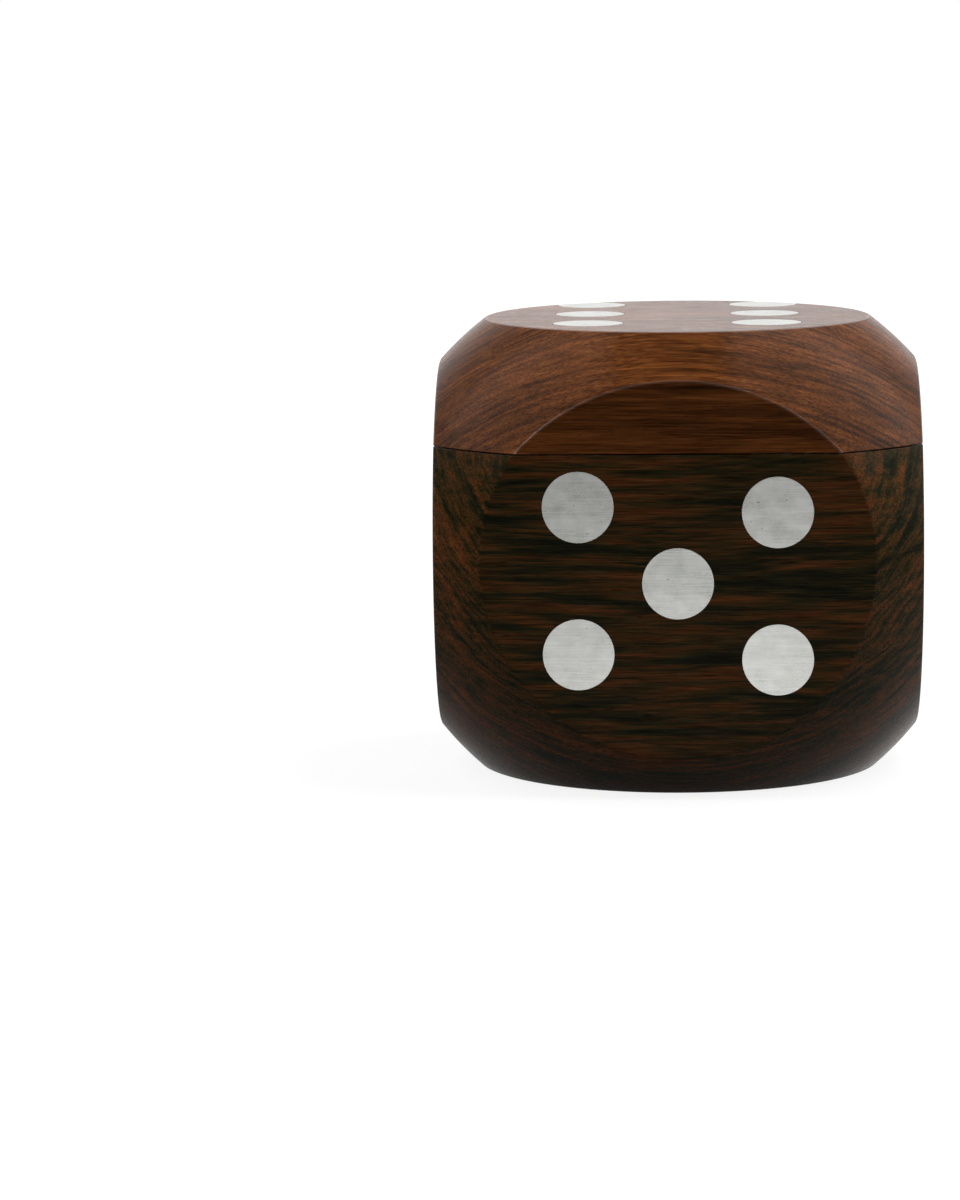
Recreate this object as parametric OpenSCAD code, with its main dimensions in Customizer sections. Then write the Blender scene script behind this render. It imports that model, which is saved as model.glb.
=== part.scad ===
// Box in the shape of a large die, turned from one block of rosewood and cut into
// a bored body and a lid. The dots are metal discs let in flush, and a brass butt
// hinge at the back carries the lid. Millimetres, +Z up, front towards -Y, origin
// at the centre of the base.

/* [Block] */
// Width of the block, left to right
block_w = 76; // [70:0.5:82]
// Depth of the block, front to back
block_d = 76; // [70:0.5:82]
// Height of the closed box
block_h = 71.7; // [66:0.1:78]
// Radius of the ball surface that rounds off the body's corners
body_ball_r = 48.6; // [46:0.1:51]
// How far the body's ball centre lies above the block's centre
body_ball_rise = 0.8; // [0:0.1:2]
// Radius of the flatter ball surface of the lid, which meets the body's at the seam
lid_ball_r = 50.8; // [48:0.1:54]
// Width taken off each flat face where its edge is eased
edge_ease = 0.25; // [0.1:0.05:0.6]

/* [Lid and cavity] */
// Height of the lid above the seam
lid_h = 18; // [14:0.1:22]
// Gap that the seam shows as a dark line
seam_gap = 0.2; // [0.1:0.05:0.5]
// Diameter of the bore that holds the dice
bore_d = 60; // [50:0.5:62]
// Thickness of wood under the bore
floor_t = 8; // [6:0.5:14]
// Depth of the recess in the lid
lid_recess = 9; // [5:0.5:11]
// Radius in the corner between a bore's wall and its end
bore_corner_r = 2; // [0.5:0.5:4]
// Width of the eased rim of each bore
rim_ease = 0.8; // [0.3:0.1:1.2]

/* [Dots] */
// Diameter of a dot
pip_d = 11; // [7:0.1:12]
// Thickness of the metal disc
pip_t = 2; // [1:0.1:3]
// Gap round a disc in its recess
pip_gap = 0.05; // [0.02:0.01:0.15]
// Half the distance between the columns on the four upright faces
side_dx = 15.3; // [12:0.1:16]
// Half the distance between the outer rows on the upright faces
side_dz = 11.4; // [9:0.1:12]
// How far the pattern sits below the middle of an upright face
side_drop = 2.2; // [0:0.1:4]
// How much lower the right-hand column of the front face sits
front_fall = 0.9; // [0:0.1:1.5]
// Half the distance between the columns on the top
top_dx = 14; // [10:0.1:16]
// Distance between the rows on the top
top_pitch = 17.8; // [15:0.1:19]
// How far the six on the top sits behind the middle
top_back = 4.2; // [0:0.1:6]

/* [Hinge] */
// Length of the hinge along the seam
hinge_l = 25; // [18:0.5:30]
// Width of the part of a leaf that lies on the wood
leaf_w = 6.4; // [5:0.1:7]
// Thickness of a leaf
leaf_t = 1; // [0.8:0.05:1.4]
// Number of knuckles, an odd number
knuckles = 5; // [3:2:7]
// Outer diameter of a knuckle
knuckle_d = 4; // [3:0.1:5]
// Diameter of the hinge pin
pin_d = 1.8; // [1.2:0.1:2]
// Gap between a knuckle and the back of the box
knuckle_gap = 0.2; // [0.1:0.05:0.5]
// Radial clearance of the pin in the turning knuckles
pin_gap = 0.05; // [0.02:0.01:0.1]
// Gap along the pin between two knuckles
knuckle_side_gap = 0.15; // [0.05:0.05:0.3]
// Gap round a leaf in its mortise
leaf_gap = 0.1; // [0.05:0.05:0.3]
// Radius of the leaf's inner corners
leaf_corner_r = 0.8; // [0.3:0.1:2]
// Height of the rounded ends of the pin
pin_dome = 0.35; // [0.2:0.05:0.6]

/* [Screws] */
// Distance between the two screws of a leaf
screw_pitch = 15; // [8:0.5:18]
// Diameter of a screw's shank
screw_d = 1.8; // [1.2:0.1:2.2]
// Diameter of a screw's countersunk head
screw_head_d = 3.4; // [2.6:0.1:3.6]
// Length of a screw
screw_l = 8; // [5:0.5:10]
// Length of a screw's point
screw_tip = 2; // [1:0.1:3]
// Width of the driver slot
slot_w = 0.5; // [0.3:0.05:0.8]
// Depth of the driver slot
slot_depth = 0.45; // [0.2:0.05:0.6]
// Gap round a screw in the leaf and in the wood
screw_gap = 0.05; // [0.02:0.01:0.1]

/* [Hidden] */

$fn = 128;

// The two seam faces, the centres of the two balls and the hinge pin's axis
lid_z = block_h - lid_h;
body_top_z = lid_z - seam_gap;
body_ball_z = block_h / 2 + body_ball_rise;
seam_r = sqrt(pow(body_ball_r, 2) - pow(lid_z - body_ball_z, 2));
lid_ball_z = lid_z - sqrt(pow(lid_ball_r, 2) - pow(seam_r, 2));
pin_y = block_d / 2 + knuckle_gap + knuckle_d / 2;
pin_z = lid_z - seam_gap / 2;

// Middle of the dot patterns on the four upright faces
pattern_z = block_h / 2 - side_drop;

// Larger than the whole box, for cuts that go right through
reach = block_w + block_d + block_h;

// Dot places on each face: across and up, or across and back on the top
FRONT_PIPS = [[-side_dx, side_dz + front_fall / 2], [side_dx, side_dz - front_fall / 2], [0, 0],
    [-side_dx, -side_dz + front_fall / 2], [side_dx, -side_dz - front_fall / 2]];
TOP_PIPS = [for (row = [-1:1], side = [-1, 1]) [side * top_dx, top_back + row * top_pitch]];
LEFT_PIPS = [for (step = [-1:1]) step * [side_dx, -side_dz]];
RIGHT_PIPS = [for (row = [1, -1], side = [-1, 1]) [side * side_dx, row * side_dz]];
BACK_PIPS = [for (step = [-1, 1]) step * [side_dx, -side_dz]];

// Radius of a flat face at the given distance from its ball's centre, and the
// slope of its eased edge, which is half the ball's slope there
function flat_r(ball_r, distance) = sqrt(pow(ball_r, 2) - pow(distance, 2)) - edge_ease;
function ease_slope(ball_r, distance) = tan(acos(distance / ball_r) / 2);

// Turned disc whose two ends are opposite faces of the block, at the given
// distances below and above the ball's centre, each with its eased edge. Its rim
// lies outside the ball.
module eased_flats(ball_r, below, above) {
    rim_r = ball_r + 1;
    low_r = flat_r(ball_r, below);
    high_r = flat_r(ball_r, above);
    rotate_extrude()
        polygon([[0, -below], [low_r, -below],
            [rim_r, (rim_r - low_r) * ease_slope(ball_r, below) - below],
            [rim_r, above - (rim_r - high_r) * ease_slope(ball_r, above)],
            [high_r, above], [0, above]]);
}

// A whole die: a ball with six flat faces, its centre at the given height
module die_form(ball_r, ball_z) {
    translate([0, 0, ball_z])
        intersection() {
            sphere(r = ball_r);
            rotate([0, 90, 0]) eased_flats(ball_r, block_w / 2, block_w / 2);
            rotate([90, 0, 0]) eased_flats(ball_r, block_d / 2, block_d / 2);
            eased_flats(ball_r, ball_z, block_h - ball_z);
        }
}
module body_form() { die_form(body_ball_r, body_ball_z); }
module lid_form() { die_form(lid_ball_r, lid_ball_z); }

// Everything above a level, for cutting the die at the seam
module above(level) {
    translate([-reach / 2, -reach / 2, level]) cube(reach);
}

// Turned bore from its mouth at zero down to the given depth, with an eased rim
// and a rounded corner at its end
module turned_bore(depth) {
    corner_z = bore_corner_r - depth;
    rotate_extrude()
        union() {
            translate([0, corner_z]) square([bore_d / 2, depth - bore_corner_r + rim_ease]);
            translate([0, -depth]) square([bore_d / 2 - bore_corner_r, depth]);
            translate([bore_d / 2 - bore_corner_r, corner_z]) circle(r = bore_corner_r);
            polygon([[0, -rim_ease], [bore_d / 2, -rim_ease],
                [bore_d / 2 + 2 * rim_ease, rim_ease], [0, rim_ease]]);
        }
}

// Cylinder let in from a face at zero, pointing down into the wood
module disc_space(place, radius) {
    translate([place[0], place[1], -pip_t]) cylinder(h = pip_t + edge_ease + 1, r = radius);
}

// Turn a face's own plane, with its outward side up, to each of the six faces
module on_front() { translate([0, -block_d / 2, pattern_z]) rotate([90, 0, 0]) children(); }
module on_back() { translate([0, block_d / 2, pattern_z]) rotate([90, 0, 180]) children(); }
module on_left() { translate([-block_w / 2, 0, pattern_z]) rotate([90, 0, -90]) children(); }
module on_right() { translate([block_w / 2, 0, pattern_z]) rotate([90, 0, 90]) children(); }
module on_top() { translate([0, 0, block_h]) children(); }
module on_bottom() { rotate([180, 0, 0]) children(); }

module dot_recesses(places) {
    for (place = places) disc_space(place, pip_d / 2 + pip_gap);
}

// One metal disc, dressed flush with the surface of the die
module dot(place) { color("#b4b7b0") disc_space(place, pip_d / 2); }

// Screw with its head's flat top at zero, pointing down
module wood_screw() {
    head_h = (screw_head_d - screw_d) / 2;
    color("#b8934d")
        difference() {
            rotate_extrude()
                polygon([[0, 0], [screw_head_d / 2, 0], [screw_d / 2, -head_h],
                    [screw_d / 2, screw_tip - screw_l], [0, -screw_l]]);
            translate([-screw_head_d, -slot_w / 2, -slot_depth])
                cube([2 * screw_head_d, slot_w, 2 * slot_depth]);
        }
}

// Room for a screw, with the same clearance on its cone and its shank
module screw_space() {
    head_h = (screw_head_d - screw_d) / 2;
    rotate_extrude()
        polygon([[0, leaf_t], [screw_head_d / 2 + screw_gap, leaf_t], [screw_head_d / 2 + screw_gap, 0],
            [screw_d / 2 + screw_gap, -head_h], [screw_d / 2 + screw_gap, -screw_l - screw_gap],
            [0, -screw_l - screw_gap]]);
}

// Places of a leaf's two screws
module at_screw(side) {
    translate([side * screw_pitch / 2, block_d / 2 - leaf_w / 2, 0]) children();
}

// Outline of a leaf on the seam face, grown by a gap on its three inner sides
module leaf_outline(gap) {
    inner_r = leaf_corner_r + gap;
    half_l = hinge_l / 2 + gap;
    back_y = block_d / 2;
    inner_y = back_y - leaf_w - gap;
    union() {
        translate([-half_l, inner_y + inner_r]) square([2 * half_l, leaf_w + gap - inner_r]);
        translate([inner_r - half_l, inner_y]) square([2 * (half_l - inner_r), leaf_w + gap]);
        for (side = [-1, 1]) translate([side * (half_l - inner_r), inner_y + inner_r]) circle(r = inner_r);
    }
}

// Mortise for a leaf, cut down from the seam face at zero and out at the back
module leaf_mortise() {
    translate([0, 0, -leaf_t]) {
        linear_extrude(leaf_t + seam_gap) leaf_outline(leaf_gap);
        translate([-hinge_l / 2 - leaf_gap, block_d / 2 - 1, 0])
            cube([hinge_l + 2 * leaf_gap, 2, leaf_t + seam_gap]);
    }
    for (side = [-1, 1]) at_screw(side) screw_space();
}

// Leaf lying flat with its upper face at zero and its knuckles on the pin's axis.
// The first knuckle is number zero, and a leaf has every second one.
module leaf(first) {
    knuckle_l = hinge_l / knuckles;
    axis_z = seam_gap / 2;
    difference() {
        union() {
            translate([0, 0, -leaf_t]) linear_extrude(leaf_t) leaf_outline(0);
            for (i = [first:2:knuckles - 1])
                translate([i * knuckle_l - hinge_l / 2, 0, 0]) {
                    from = i == 0 ? 0 : knuckle_side_gap / 2;
                    to = i == knuckles - 1 ? knuckle_l : knuckle_l - knuckle_side_gap / 2;
                    translate([from, pin_y, axis_z]) rotate([0, 90, 0])
                        cylinder(h = to - from, d = knuckle_d, $fn = 64);
                    translate([from, block_d / 2 - leaf_t, -leaf_t])
                        cube([to - from, pin_y - block_d / 2 + leaf_t, leaf_t]);
                }
        }
        translate([-reach / 2, pin_y, axis_z]) rotate([0, 90, 0])
            cylinder(h = reach, d = pin_d + 2 * pin_gap, $fn = 64);
        for (side = [-1, 1]) at_screw(side) screw_space();
    }
}

// Turn what is modelled below a seam face over to lie above the lid's seam face
module in_body() { translate([0, 0, body_top_z]) children(); }
module in_lid() { translate([0, 0, lid_z]) mirror([0, 0, 1]) children(); }

module box_body() {
    color("#3b2416")
        difference() {
            body_form();
            above(body_top_z);
            in_body() turned_bore(body_top_z - floor_t);
            in_body() leaf_mortise();
            on_front() dot_recesses(FRONT_PIPS);
            on_left() dot_recesses(LEFT_PIPS);
            on_right() dot_recesses(RIGHT_PIPS);
            on_back() dot_recesses(BACK_PIPS);
            on_bottom() dot_recesses([[0, 0]]);
        }
}

module lid() {
    color("#5a3421")
        difference() {
            intersection() {
                lid_form();
                above(lid_z);
            }
            in_lid() turned_bore(lid_recess);
            in_lid() leaf_mortise();
            on_top() dot_recesses(TOP_PIPS);
        }
}

// A disc near the edge of a face is rounded off with the wood round it
module pip_front(i) { intersection() { on_front() dot(FRONT_PIPS[i - 1]); body_form(); } }
module pip_top(i) { intersection() { on_top() dot(TOP_PIPS[i - 1]); lid_form(); } }
module pip_left(i) { intersection() { on_left() dot(LEFT_PIPS[i - 1]); body_form(); } }
module pip_right(i) { intersection() { on_right() dot(RIGHT_PIPS[i - 1]); body_form(); } }
module pip_back(i) { intersection() { on_back() dot(BACK_PIPS[i - 1]); body_form(); } }
module pip_bottom() { intersection() { on_bottom() dot([0, 0]); body_form(); } }

module hinge_body_leaf() { color("#b08b45") in_body() leaf(0); }
module hinge_lid_leaf() { color("#b08b45") in_lid() leaf(1); }

// Low dome on the end of the pin, a slice of a ball as wide as the pin
module pin_end() {
    dome_r = (pow(pin_d / 2, 2) + pow(pin_dome, 2)) / (2 * pin_dome);
    intersection() {
        translate([0, 0, hinge_l / 2 + pin_dome - dome_r]) sphere(r = dome_r);
        translate([0, 0, hinge_l / 2]) cylinder(h = 2 * pin_dome, d = 2 * pin_d);
    }
}

// Pin held by the body leaf's knuckles
module hinge_pin() {
    color("#c9a55c")
        translate([0, pin_y, pin_z]) rotate([0, 90, 0]) {
            cylinder(h = hinge_l, d = pin_d, center = true, $fn = 64);
            pin_end();
            mirror([0, 0, 1]) pin_end();
        }
}

module body_screw(side) { in_body() at_screw(side) wood_screw(); }
module lid_screw(side) { in_lid() at_screw(side) wood_screw(); }

box_body();
lid();
for (i = [1:5]) pip_front(i);
for (i = [1:6]) pip_top(i);
for (i = [1:3]) pip_left(i);
for (i = [1:4]) pip_right(i);
for (i = [1:2]) pip_back(i);
pip_bottom();
hinge_body_leaf();
hinge_lid_leaf();
hinge_pin();
body_screw(-1);  // body_screw_left
body_screw(1);  // body_screw_right
lid_screw(-1);  // lid_screw_left
lid_screw(1);  // lid_screw_right
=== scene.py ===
"""A box in the shape of a large die, with a rosewood body and lid, inlaid aluminium dots and
a brass butt hinge."""
import math

import bmesh
import bpy
from mathutils import Matrix, Vector


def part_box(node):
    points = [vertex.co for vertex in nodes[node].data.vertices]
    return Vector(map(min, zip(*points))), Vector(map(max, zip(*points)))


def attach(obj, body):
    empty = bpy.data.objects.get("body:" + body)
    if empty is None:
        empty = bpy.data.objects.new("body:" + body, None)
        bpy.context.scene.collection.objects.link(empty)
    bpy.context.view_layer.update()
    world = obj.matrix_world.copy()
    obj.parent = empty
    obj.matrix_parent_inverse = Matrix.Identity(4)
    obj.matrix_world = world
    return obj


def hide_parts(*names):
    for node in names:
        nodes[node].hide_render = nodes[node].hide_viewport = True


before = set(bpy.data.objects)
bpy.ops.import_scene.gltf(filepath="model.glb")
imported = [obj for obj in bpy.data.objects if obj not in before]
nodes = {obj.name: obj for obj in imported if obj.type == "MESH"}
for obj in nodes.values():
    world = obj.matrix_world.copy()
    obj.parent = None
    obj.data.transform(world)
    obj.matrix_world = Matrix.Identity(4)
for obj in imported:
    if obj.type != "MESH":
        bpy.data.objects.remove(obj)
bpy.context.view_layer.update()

# The body
# A block of Indian rosewood, cut below the seam and bored out on the lathe. The outside is
# sanded and wax polished. The fibres run left to right and the growth layers lean back, so
# the flat faces show them as straight veins and the ball surface as arcs.

MM = 0.001
BORE_R = 30 * MM
BORE_FLOOR = 8 * MM
RIM_EASE = 0.8 * MM
WOOD_EASE = 0.12 * MM
SLACK = 0.1 * MM
SHARP = math.radians(30)

# Sizes in the wood, in millimetres along the fibres, from front to back and upwards
SLOW_WAVE, QUICK_WAVE, STRAND_WAVE = (80, 34, 20), (30, 10, 5), (24, 14, 10)
BROAD_LAYER, THIN_LAYER, STREAK = (50, 8.0, 40), (26, 0.7, 13), (15, 1.4, 1.5)
PORE, WAX_PATCH, RING_PITCH = (2.6, 0.26, 0.26), (6, 3, 3), 0.7
# Fibres are too fine to show, so they are drawn 0.25 mm wide
FIBRE = (8, 0.25, 0.25)

# Roughness of the dull and the glossy fibres under full wax, and specular level. The wax is
# thin, so it shines only at a grazing angle. The arrises of the lid are burnished by hand
# and catch the light. The bore is bare and matt.
SURFACES = {"waxed": (0.12, 0.05, 0.03), "turned": (0.54, 0.42, 0.15),
            "burnished": (0.18, 0.12, 0.45)}


def linear(hex_colour):
    """An sRGB hex colour as the linear RGBA that a shader takes."""
    parts = [int(hex_colour[i:i + 2], 16) / 255 for i in (1, 3, 5)]
    return [c / 12.92 if c <= 0.04045 else ((c + 0.055) / 1.055) ** 2.4 for c in parts] + [1.0]


def add(tree, kind, settings=None, **links):
    """Add a node. settings are its properties. links are its inputs, by name or as _0 by
    place, and each is a value, a socket or another node, whose first live output is used."""
    node = tree.nodes.new(kind)
    for name, value in (settings or {}).items():
        setattr(node, name, value)
    for name, value in links.items():
        socket = node.inputs[int(name[1:]) if name[1:].isdigit() else name.replace("_", " ")]
        if isinstance(value, bpy.types.Node):
            value = next(output for output in value.outputs if output.enabled)
        if isinstance(value, bpy.types.NodeSocket):
            tree.links.new(value, socket)
        else:
            socket.default_value = value
    return node


def new_material(name):
    """An empty material, its node tree, and the place on the box in millimetres."""
    material = bpy.data.materials.new(name)
    material.use_nodes = True
    tree = material.node_tree
    tree.nodes.clear()
    coords = add(tree, "ShaderNodeTexCoord").outputs["Object"]
    place = add(tree, "ShaderNodeVectorMath", {"operation": "SCALE"}, _0=coords, Scale=1 / MM)
    return material, tree, place


def colour_steps(tree, tone, steps):
    """Map a tone to colours: steps are pairs of a place from 0 to 1 and a hex colour."""
    ramp = add(tree, "ShaderNodeValToRGB", Fac=tone)
    stops = ramp.color_ramp.elements
    while len(stops) < len(steps):
        stops.new(0.5)
    for stop, (place, hex_colour) in zip(stops, steps):
        stop.position = place
        stop.color = linear(hex_colour)
    return ramp


def mottle(tree, place, length, detail=2.0, roughness=0.5):
    """A mottled tone from 0 to 1, whose patches are length = (x, y, z) millimetres long."""
    scaled = add(tree, "ShaderNodeVectorMath", {"operation": "DIVIDE"}, _0=place, _1=length)
    return add(tree, "ShaderNodeTexNoise", Vector=scaled, Scale=1.0, Detail=detail,
               Roughness=roughness)


def rosewood(name, surface, shift, lean, roll, shares, figure, fibre_tint, mouth):
    """Rosewood as a solid pattern that runs through the whole block: near-black veins in
    red-brown wood, with fine fibres and open pores.

    surface is one of SURFACES. shift moves the block through the log, lean is how many
    degrees the growth layers lean back from upright, and roll is how many millimetres they
    wave slowly and quickly. shares are the parts that broad layers, thin layers and streaks
    have in the tone, and figure is the colours from a dark vein to pale heartwood. mouth is
    1 where the bore opens upwards and -1 where it opens downwards."""
    material, tree, box_place = new_material(f"rosewood, {surface}, {name}")
    place = add(tree, "ShaderNodeVectorMath", {"operation": "ADD"}, _0=box_place, _1=shift)
    x, _, z = add(tree, "ShaderNodeSeparateXYZ", Vector=place).outputs
    layer = add(tree, "ShaderNodeVectorMath", {"operation": "DOT_PRODUCT"}, _0=place,
                _1=(0.0, math.cos(math.radians(lean)), -math.sin(math.radians(lean))))
    for length, reach in zip((SLOW_WAVE, QUICK_WAVE), roll):
        layer = add(tree, "ShaderNodeMath", {"operation": "MULTIPLY_ADD"},
                    _0=mottle(tree, place, length), _1=reach, _2=layer)
    sheet = add(tree, "ShaderNodeCombineXYZ", X=x, Y=layer, Z=z)
    # Streaks follow the fibres, which wave up and down by up to 3 mm
    level = add(tree, "ShaderNodeMath", {"operation": "MULTIPLY_ADD"},
                _0=mottle(tree, place, STRAND_WAVE), _1=3.0, _2=z)
    strand = add(tree, "ShaderNodeCombineXYZ", X=x, Y=layer, Z=level)
    parts = add(tree, "ShaderNodeCombineXYZ", X=mottle(tree, sheet, BROAD_LAYER),
                Y=mottle(tree, sheet, THIN_LAYER, 4.0, 0.6),
                Z=mottle(tree, strand, STREAK, 4.0, 0.62))
    tone = add(tree, "ShaderNodeVectorMath", {"operation": "DOT_PRODUCT"}, _0=parts, _1=shares)
    colour = colour_steps(tree, tone, figure)

    fibre = add(tree, "ShaderNodeMapRange", Value=mottle(tree, place, FIBRE, 2.0, 0.7),
                From_Min=0.3, From_Max=0.7)
    tint = add(tree, "ShaderNodeMix", {"data_type": "RGBA"}, Factor=fibre,
               _6=linear(fibre_tint), _7=linear("#ffffff"))
    colour = add(tree, "ShaderNodeMix", {"data_type": "RGBA", "blend_type": "MULTIPLY"},
                 Factor=1.0, _6=colour, _7=tint)
    # Pores are dark dashes along the fibres, and dots where the surface cuts across them
    pore = add(tree, "ShaderNodeMapRange", Value=mottle(tree, place, PORE, 1.0),
               From_Min=0.66, From_Max=0.76, To_Max=0.65)
    colour = add(tree, "ShaderNodeMix", {"data_type": "RGBA"}, Factor=pore, _6=colour,
                 _7=linear("#120d08"))
    relief = add(tree, "ShaderNodeMath", {"operation": "MULTIPLY_ADD"}, _0=pore, _1=-3.0,
                 _2=fibre)
    if surface == "turned":
        # The cutter left fine rings on the wall and the floor
        x, y, z = add(tree, "ShaderNodeSeparateXYZ", Vector=box_place).outputs
        across = add(tree, "ShaderNodeCombineXYZ", X=x, Y=y)
        radius = add(tree, "ShaderNodeVectorMath", {"operation": "LENGTH"}, _0=across)
        path = add(tree, "ShaderNodeMath", {"operation": "MULTIPLY_ADD"}, _0=z, _1=mouth,
                   _2=radius)
        turn = add(tree, "ShaderNodeMath", {"operation": "MULTIPLY"}, _0=path,
                   _1=2 * math.pi / RING_PITCH)
        ring = add(tree, "ShaderNodeMath", {"operation": "SINE"}, _0=turn)
        relief = add(tree, "ShaderNodeMath", {"operation": "ADD"}, _0=relief, _1=ring)
    bump = add(tree, "ShaderNodeBump", Strength=0.4, Distance=0.03 * MM, Height=relief)

    # Wax doesn't fill the pores, and it lies thinner in patches
    dull, glossy, shine = SURFACES[surface]
    roughness = add(tree, "ShaderNodeMapRange", Value=fibre, To_Min=dull, To_Max=glossy)
    for spot, dulling in ((pore, 0.30), (mottle(tree, box_place, WAX_PATCH, 3.0, 0.6), 0.16)):
        roughness = add(tree, "ShaderNodeMath", {"operation": "MULTIPLY_ADD"}, _0=spot,
                        _1=dulling, _2=roughness)
    shader = add(tree, "ShaderNodeBsdfPrincipled", Base_Color=colour, Roughness=roughness,
                 Specular_IOR_Level=shine, Normal=bump)
    add(tree, "ShaderNodeOutputMaterial", Surface=shader)
    return material


def smooth_copy(node_name, piece_name, ease, *materials):
    """A merged copy of a CAD node, with its round faces smooth and its sharp edges eased."""
    mesh = nodes[node_name].data.copy()
    mesh.materials.clear()
    for material in materials:
        mesh.materials.append(material)
    bm = bmesh.new()
    bm.from_mesh(mesh)
    bmesh.ops.remove_doubles(bm, verts=bm.verts, dist=0.002 * MM)
    bmesh.ops.dissolve_limit(bm, angle_limit=math.radians(0.05), verts=bm.verts, edges=bm.edges)
    bm.to_mesh(mesh)
    bm.free()
    mesh.shade_smooth()
    mesh.set_sharp_from_angle(angle=SHARP)
    piece = bpy.data.objects.new(piece_name, mesh)
    bpy.context.scene.collection.objects.link(piece)
    if ease:
        edge = piece.modifiers.new("eased edges", "BEVEL")
        edge.width = ease
        edge.segments = 2
        edge.limit_method = "ANGLE"
        edge.angle_limit = SHARP
    weight = piece.modifiers.new("flat faces stay flat", "WEIGHTED_NORMAL")
    weight.keep_sharp = True
    return piece


def leave_bore_bare(piece, low, high):
    """Give the faces of the bore between two heights the piece's second material."""
    corners = piece.data.vertices
    for face in piece.data.polygons:
        if all(math.hypot(corners[i].co.x, corners[i].co.y) < BORE_R + RIM_EASE + SLACK
               and low - SLACK < corners[i].co.z < high + SLACK for i in face.vertices):
            face.material_index = 1


BODY_GRAIN = {
    "shift": (210.0, 40.0, -20.0), "lean": 35.0, "roll": (7.0, 1.6),
    "shares": (0.30, 0.36, 0.34),
    "figure": [(0.41, "#26271a"), (0.46, "#393620"), (0.51, "#5b4325"), (0.57, "#7b4a28"),
               (0.65, "#925a31")],
    "fibre_tint": "#8a7c68", "mouth": 1.0}

body = smooth_copy("box_body", "body_block", WOOD_EASE,
                   rosewood("dark heart", "waxed", **BODY_GRAIN),
                   rosewood("dark heart", "turned", **BODY_GRAIN))
leave_bore_bare(body, BORE_FLOOR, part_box("box_body")[1].z)
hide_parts("box_body")
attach(body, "box")

# The lid
# A slice of a redder, paler piece of the same wood, whose layers lean forward, recessed on
# the lathe to match the bore. It closes on the body with a hair gap that shows as a dark line.

LID_RECESS = 9 * MM
LID_GRAIN = {
    "shift": (-150.0, 31.0, 5.0), "lean": -38.0, "roll": (4.0, 0.7),
    "shares": (0.28, 0.42, 0.30),
    "figure": [(0.37, "#412a11"), (0.44, "#62391a"), (0.51, "#804b24"), (0.58, "#995b2e"),
               (0.66, "#ad6b38")],
    "fibre_tint": "#9a8878", "mouth": -1.0}

lid = smooth_copy("lid", "lid_block", WOOD_EASE,
                  *(rosewood("red heart", surface, **LID_GRAIN) for surface in SURFACES))
seam_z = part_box("lid")[0].z
leave_bore_bare(lid, seam_z, seam_z + LID_RECESS)
# The burnished arrises are the narrow faces that tilt 10 to 30 degrees from a flat one
for face in lid.data.polygons:
    tilt = math.degrees(math.acos(min(1.0, max(map(abs, face.normal)))))
    if face.material_index == 0 and 10 < tilt < 30:
        face.material_index = 2
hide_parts("lid")
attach(lid, "lid")

# The dots
# Discs of aluminium rod, glued into drilled recesses and sanded flush with the wood.
# The paper leaves fine scratches, and a few deeper nicks stay.

# Sizes in millimetres. Real scratches are too fine to show, so they are drawn 0.12 mm wide
SCRATCH, CLOUD, NICK = (6.0, 0.16, 0.12), (3.0, 3.0, 2.2), (0.9, 0.3, 0.3)


def sanded_aluminium():
    """Soft aluminium, sanded flush by hand: pale grey, broadly glossy, with fine scratches."""
    material, tree, place = new_material("aluminium, sanded")
    scratches = mottle(tree, place, SCRATCH, 3.0, 0.65)
    clouds = mottle(tree, place, CLOUD, 3.0, 0.6)
    nick = add(tree, "ShaderNodeMapRange", Value=mottle(tree, place, NICK, 1.0),
               From_Min=0.78, From_Max=0.82)
    tone = add(tree, "ShaderNodeMix", Factor=0.55, _2=scratches, _3=clouds)
    colour = colour_steps(tree, tone, [(0.34, "#c4c6c1"), (0.50, "#d6d7d2"), (0.66, "#e6e6e2")])
    colour = add(tree, "ShaderNodeMix", {"data_type": "RGBA"}, Factor=nick, _6=colour,
                 _7=linear("#4c4a46"))
    roughness = add(tree, "ShaderNodeMapRange", Value=clouds, To_Min=0.23, To_Max=0.33)
    height = add(tree, "ShaderNodeMath", {"operation": "MULTIPLY_ADD"}, _0=nick, _1=-2.0,
                 _2=scratches)
    bump = add(tree, "ShaderNodeBump", Strength=0.35, Distance=0.02 * MM, Height=height)
    shader = add(tree, "ShaderNodeBsdfPrincipled", Base_Color=colour, Roughness=roughness,
                 Metallic=1.0, Normal=bump)
    add(tree, "ShaderNodeOutputMaterial", Surface=shader)
    return material


aluminium = sanded_aluminium()
for name in sorted(nodes):
    if name.startswith("pip_"):
        nodes[name].data.materials.clear()
        nodes[name].data.materials.append(aluminium)

# The hinge
# A small stamped brass butt hinge, let into both seam faces at the back, with its
# knuckles outside and a drawn brass pin through them.

LEAF_EASE = 0.08 * MM
# Sizes in millimetres. The lines that the rolls left are finer, and are drawn 0.12 mm wide
BLOOM, ROLL_LINE = (2.4, 2.4, 2.4), (1.8, 0.12, 0.12)


def yellow_brass(name, pale, dark, rough):
    """Unlacquered yellow brass, with a soft shine where it is pale and a dull brown bloom.
    rough is the roughness of the bloom."""
    material, tree, place = new_material(name)
    bloom = mottle(tree, place, BLOOM, 4.0, 0.65)
    colour = colour_steps(tree, bloom, [(0.36, dark), (0.58, pale)])
    roughness = add(tree, "ShaderNodeMapRange", Value=bloom, To_Min=rough, To_Max=rough - 0.22)
    bump = add(tree, "ShaderNodeBump", Strength=0.25, Distance=0.02 * MM,
               Height=mottle(tree, place, ROLL_LINE))
    shader = add(tree, "ShaderNodeBsdfPrincipled", Base_Color=colour, Roughness=roughness,
                 Metallic=1.0, Normal=bump)
    add(tree, "ShaderNodeOutputMaterial", Surface=shader)
    return material


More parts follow.
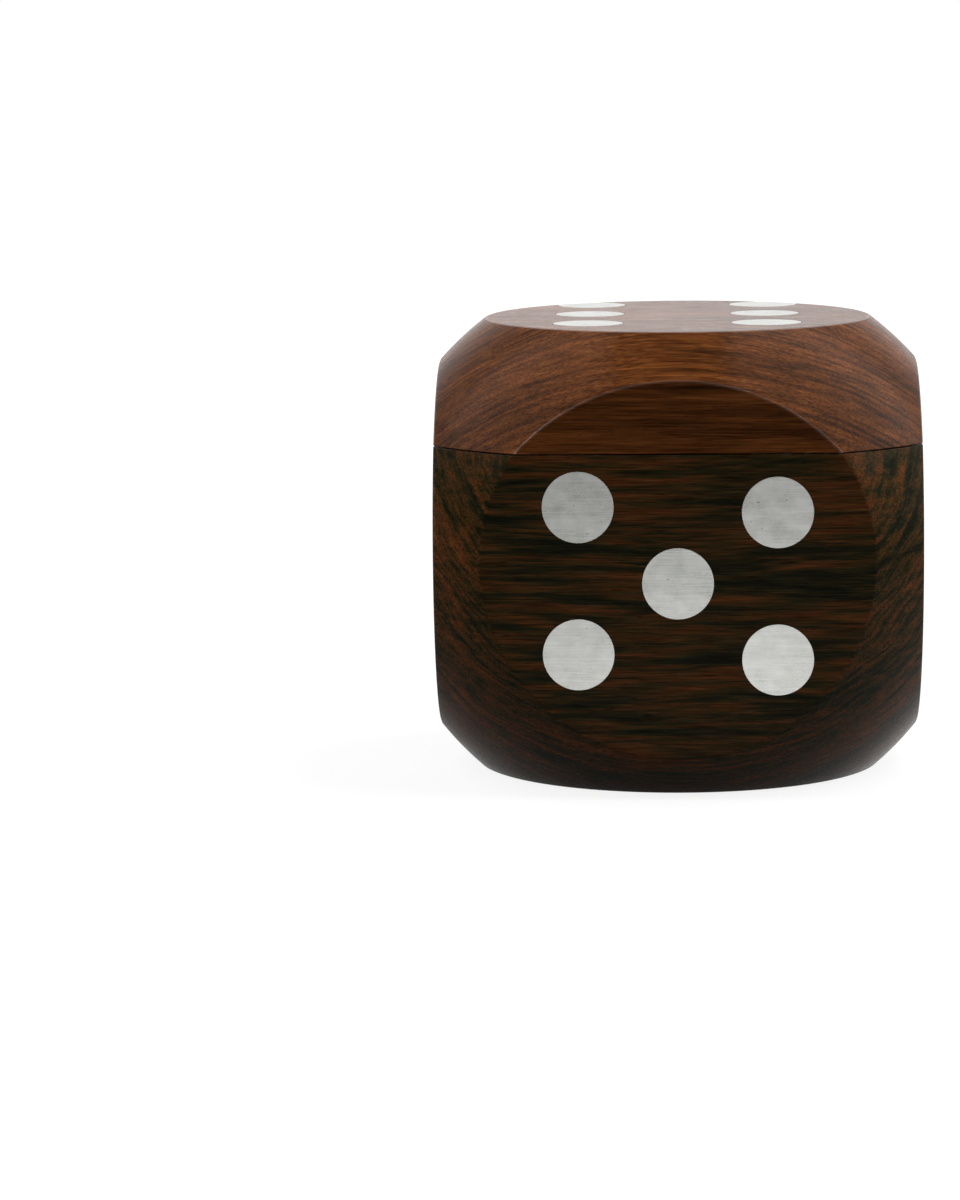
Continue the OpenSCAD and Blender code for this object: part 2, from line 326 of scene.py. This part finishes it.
leaf_brass = yellow_brass("brass, rolled and tumbled", "#cba75f", "#a5834a", 0.46)
for node_name, piece_name, body_name in (("hinge_body_leaf", "body_leaf", "box"),
                                         ("hinge_lid_leaf", "lid_leaf", "lid")):
    leaf = smooth_copy(node_name, piece_name, LEAF_EASE, leaf_brass)
    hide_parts(node_name)
    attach(leaf, body_name)

pin = smooth_copy("hinge_pin", "pin", 0.0,
                  yellow_brass("brass, drawn wire", "#d3b068", "#ad8a4e", 0.38))
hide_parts("hinge_pin")
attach(pin, "box")

# The screws
# Four turned brass wood screws with slotted countersunk heads, two to a leaf. They are
# driven home, so their heads lie flush with the leaves.

screw_brass = yellow_brass("brass, turned", "#d8b76e", "#b3904f", 0.36)
for side in ("left", "right"):
    for part, body_name in (("body", "box"), ("lid", "lid")):
        node_name = f"{part}_screw_{side}"
        screw = smooth_copy(node_name, f"{part}_wood_screw_{side}", 0.0, screw_brass)
        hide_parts(node_name)
        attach(screw, body_name)

# The floor
# A wide sheet of pale paper. The camera sees it white, with the box's shadow on it. Gloss sees
# a painted pool of light near the box, a glow that stands in for paper under a lamp.

PAPER_SIZE = 3.0
PAPER_DROP = 0.02 * MM
# In millimetres: the middle of the painted pool of light, and how far from it gloss sees the
# painted pool fade out and the camera sees the paper turn from just short of white to white
POOL_MIDDLE, POOL_FADE, WHITE_FADE = (100.0, -140.0, 0.0), (60.0, 270.0), (150.0, 900.0)

floor_bm = bmesh.new()
bmesh.ops.create_grid(floor_bm, x_segments=1, y_segments=1, size=PAPER_SIZE,
                      matrix=Matrix.Translation((0.0, 0.0, -PAPER_DROP)))
floor_mesh = bpy.data.meshes.new("floor")
floor_bm.to_mesh(floor_mesh)
floor_bm.free()
floor = bpy.data.objects.new("floor", floor_mesh)
bpy.context.scene.collection.objects.link(floor)
floor_material, tree, place = new_material("floor, white paper")
rays = add(tree, "ShaderNodeLightPath").outputs
from_pool = add(tree, "ShaderNodeVectorMath", {"operation": "DISTANCE"}, _0=place,
                _1=POOL_MIDDLE)
seen_glow = add(tree, "ShaderNodeMapRange", Value=from_pool, From_Min=WHITE_FADE[0],
                From_Max=WHITE_FADE[1], To_Min=0.86, To_Max=1.0)
# Painted light: a glow that only glossy rays see, bright near the box and fading out
painted_pool_glow = add(tree, "ShaderNodeMapRange", {"interpolation_type": "SMOOTHSTEP"},
                 Value=from_pool, From_Min=POOL_FADE[0], From_Max=POOL_FADE[1], To_Min=1.0,
                 To_Max=0.12)
seen = add(tree, "ShaderNodeMath", {"operation": "MAXIMUM"}, _0=rays["Is Camera Ray"],
           _1=rays["Is Transmission Ray"])
seen = add(tree, "ShaderNodeMath", {"operation": "MULTIPLY"}, _0=seen, _1=seen_glow)
glow = add(tree, "ShaderNodeMath", {"operation": "MULTIPLY_ADD"}, _0=rays["Is Glossy Ray"],
           _1=painted_pool_glow, _2=seen)
paper = add(tree, "ShaderNodeBsdfDiffuse", Color=linear("#7c7c7c"))
white = add(tree, "ShaderNodeEmission", Strength=glow)
both = add(tree, "ShaderNodeAddShader", _0=paper, _1=white)
add(tree, "ShaderNodeOutputMaterial", Surface=both)
floor_mesh.materials.append(floor_material)

# The light
# Two broad soft lamps, one at each side, in a room that is white behind the box and dark
# in front, with a pale ceiling that only gloss sees. A narrow lamp at the front left draws
# the pale line along the front edge of the lid.

# Brightness of the room, where 1 is white. The box gets a part of it as plain light
FRONT_GLOW, CEILING_GLOW, PLAIN_PART = 0.08, 0.6, 0.25
TOWARDS_WHITE = (0.6, 1.0, -0.6)
BOX_MIDDLE = Vector((0.0, 0.0, 0.036))

world = bpy.data.worlds.new("white room")
bpy.context.scene.world = world
world.use_nodes = True
tree = world.node_tree
tree.nodes.clear()
direction = add(tree, "ShaderNodeTexCoord").outputs["Generated"]
behind = add(tree, "ShaderNodeVectorMath", {"operation": "DOT_PRODUCT"}, _0=direction,
             _1=TOWARDS_WHITE)
room = add(tree, "ShaderNodeMapRange", Value=behind, From_Min=-0.5, From_Max=0.3,
           To_Min=FRONT_GLOW)
rays = add(tree, "ShaderNodeLightPath").outputs
seen = add(tree, "ShaderNodeMath", {"operation": "MAXIMUM"}, _0=rays["Is Camera Ray"],
           _1=rays["Is Transmission Ray"])
part = add(tree, "ShaderNodeMapRange", Value=rays["Is Glossy Ray"], To_Min=PLAIN_PART)
shown = add(tree, "ShaderNodeMath", {"operation": "MULTIPLY"}, _0=room, _1=part)
shown = add(tree, "ShaderNodeMath", {"operation": "MAXIMUM"}, _0=shown, _1=seen)
height = add(tree, "ShaderNodeSeparateXYZ", Vector=direction).outputs["Z"]
ceiling = add(tree, "ShaderNodeMapRange", Value=height, From_Min=0.15, From_Max=0.40,
              To_Max=CEILING_GLOW)
ceiling = add(tree, "ShaderNodeMath", {"operation": "MULTIPLY"}, _0=ceiling,
              _1=rays["Is Glossy Ray"])
shown = add(tree, "ShaderNodeMath", {"operation": "MAXIMUM"}, _0=shown, _1=ceiling)
background = add(tree, "ShaderNodeBackground", Color=linear("#ffffff"), Strength=shown)
add(tree, "ShaderNodeOutputWorld", Surface=background)


def soft_lamp(name, place, length, width, brightness, turn=0.0):
    """A soft lamp that faces the middle of the box, turned about its beam by so many degrees.
    Its sides are in metres, and a brightness of 1 is white."""
    data = bpy.data.lights.new(name, "AREA")
    data.shape = "RECTANGLE"
    data.size = length
    data.size_y = width
    data.energy = brightness * math.pi * length * width
    lamp = bpy.data.objects.new(name, data)
    aim = (BOX_MIDDLE - place).to_track_quat("-Z", "Y").to_matrix().to_4x4()
    lamp.matrix_world = (Matrix.Translation(place) @ aim
                         @ Matrix.Rotation(math.radians(turn), 4, "Z"))
    bpy.context.scene.collection.objects.link(lamp)


soft_lamp("right lamp", Vector((0.75, 0.10, 0.90)), 1.2, 1.2, 3.5)
soft_lamp("left lamp", Vector((-0.75, 0.10, 0.90)), 1.0, 1.0, 2.6)
soft_lamp("narrow front lamp", Vector((-0.60, -0.68, 0.58)), 0.8, 0.02, 20.0, turn=-45.0)

# The camera
# A long lens at twice the height of the box, 0.8 m away and almost square to the front.

IMAGE_W, IMAGE_H = 960, 1200
FOCAL_PX = 4928.6
SENSOR = 36.0
CAMERA_PLACE = Vector((0.0004, -0.7866, 0.1364))
YAW, PITCH, ROLL = (math.radians(a) for a in (-2.355, -7.987, -0.545))

camera_data = bpy.data.cameras.new("camera")
camera_data.sensor_width = SENSOR
camera_data.lens = FOCAL_PX * SENSOR / max(IMAGE_W, IMAGE_H)
camera_data.clip_start = 0.01
camera = bpy.data.objects.new("camera", camera_data)
camera.matrix_world = (Matrix.Translation(CAMERA_PLACE) @ Matrix.Rotation(-YAW, 4, "Z")
                       @ Matrix.Rotation(math.pi / 2 + PITCH, 4, "X")
                       @ Matrix.Rotation(ROLL, 4, "Z"))
bpy.context.scene.collection.objects.link(camera)
bpy.context.scene.camera = camera
bpy.context.scene.view_settings.view_transform = "Standard"
